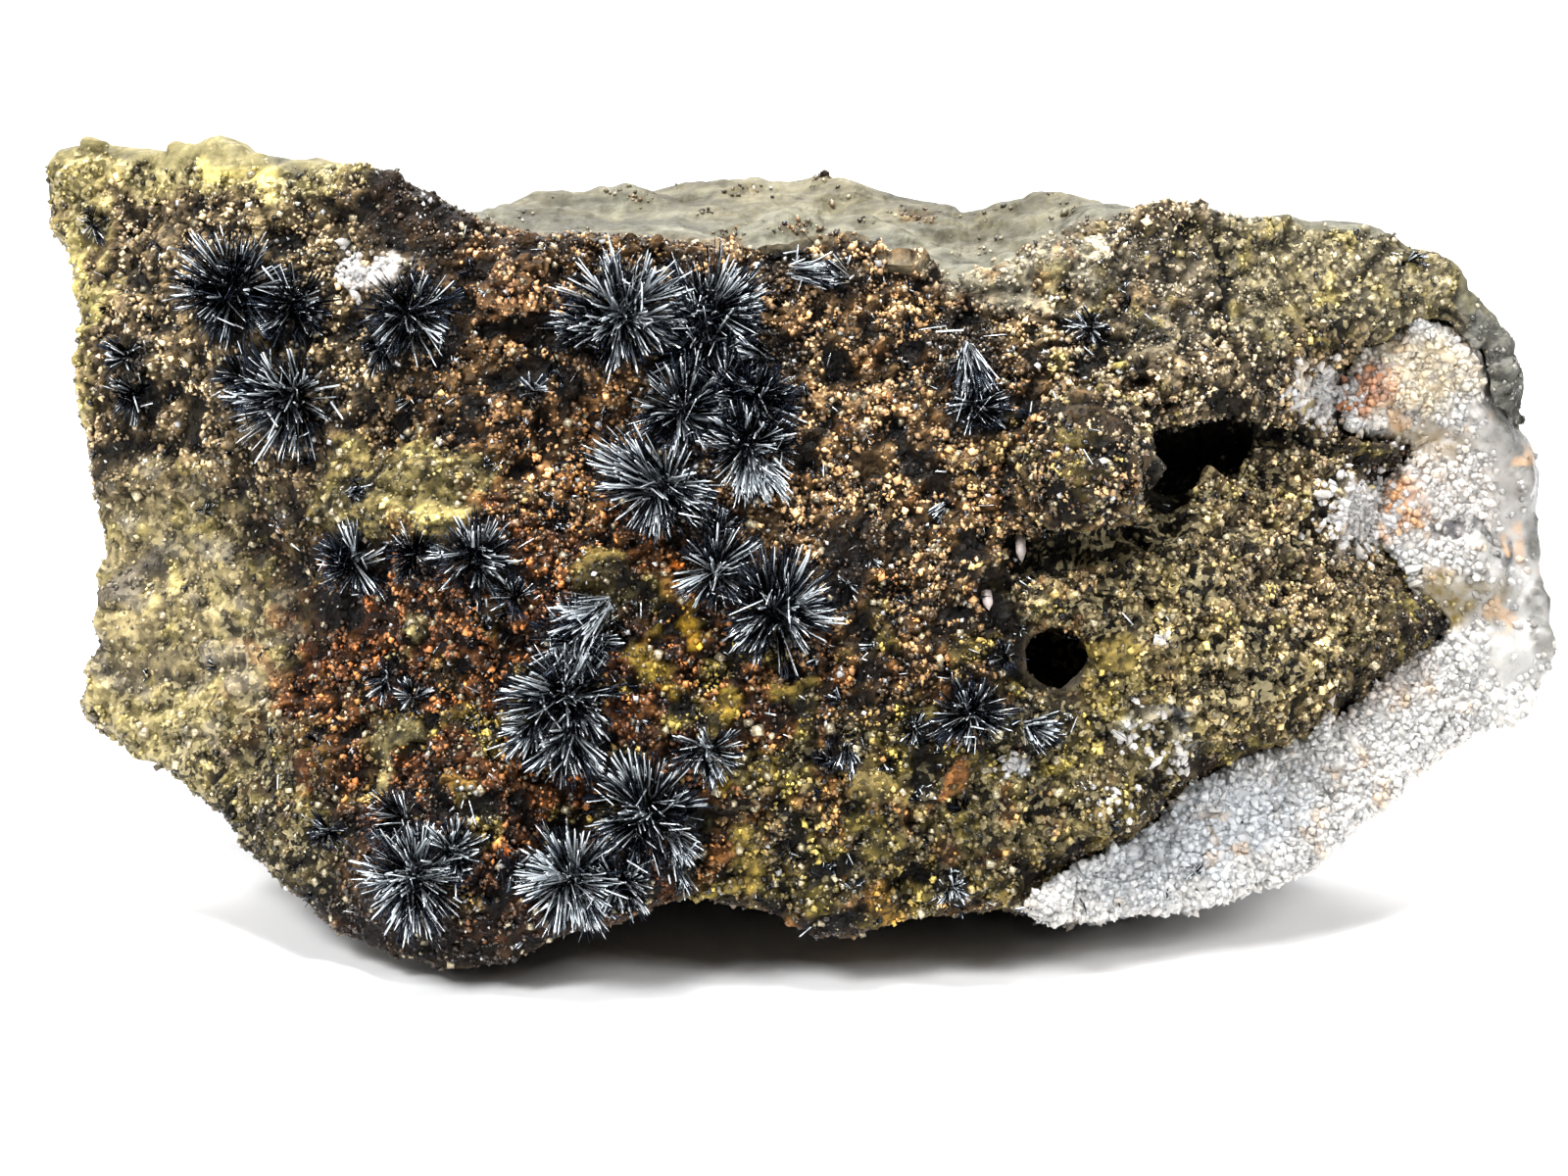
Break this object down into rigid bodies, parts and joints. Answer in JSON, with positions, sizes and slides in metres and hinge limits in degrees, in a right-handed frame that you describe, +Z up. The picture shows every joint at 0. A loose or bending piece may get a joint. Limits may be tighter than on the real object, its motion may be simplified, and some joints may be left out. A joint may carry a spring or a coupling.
{
  "type": "stibnite specimen",
  "caption": "Mineral specimen: sprays of dark metallic needles on a leaning block of golden and rust-brown sulphide rock, with a white quartz vein along one end.",
  "frame": {"origin": "middle of the footprint, on the surface that the specimen rests on", "axes": "X along the length of the block, to the quartz end; Y from the crystal face to the back; Z up"},
  "size_m": [0.1156, 0.0522, 0.0584],
  "materials": {
    "sulphide": "satin",
    "quartz": "satin",
    "stibnite": "gloss"
  },
  "bodies": {
    "root": {"matrix": "sulphide", "quartz": "quartz", "stibnite_arc": "stibnite", "stibnite_blade": "stibnite", "stibnite_blue_fan": "stibnite", "stibnite_bottom_tuft": "stibnite", "stibnite_chain": "stibnite", "stibnite_chain_2": "stibnite", "stibnite_chain_3": "stibnite", "stibnite_chain_4": "stibnite", "stibnite_chain_5": "stibnite", "stibnite_chain_6": "stibnite", "stibnite_corner": "stibnite", "stibnite_dark_ball": "stibnite", "stibnite_foot": "stibnite", "stibnite_great_ball": "stibnite", "stibnite_great_ball_2": "stibnite", "stibnite_high_fan": "stibnite", "stibnite_hollow_edge": "stibnite", "stibnite_left_edge": "stibnite", "stibnite_left_speck": "stibnite", "stibnite_low_centre": "stibnite", "stibnite_low_centre_2": "stibnite", "stibnite_low_centre_3": "stibnite", "stibnite_low_centre_4": "stibnite", "stibnite_low_left": "stibnite", "stibnite_lower_right": "stibnite", "stibnite_lower_right_2": "stibnite", "stibnite_mid_left": "stibnite", "stibnite_mid_left_2": "stibnite", "stibnite_mid_left_3": "stibnite", "stibnite_right_fan": "stibnite", "stibnite_right_speck": "stibnite", "stibnite_rust_tuft": "stibnite", "stibnite_shoulder": "stibnite", "stibnite_silver_fan": "stibnite", "stibnite_small_ball": "stibnite", "stibnite_upper_left": "stibnite", "stibnite_upper_left_2": "stibnite"}
  },
  "joints": []
}
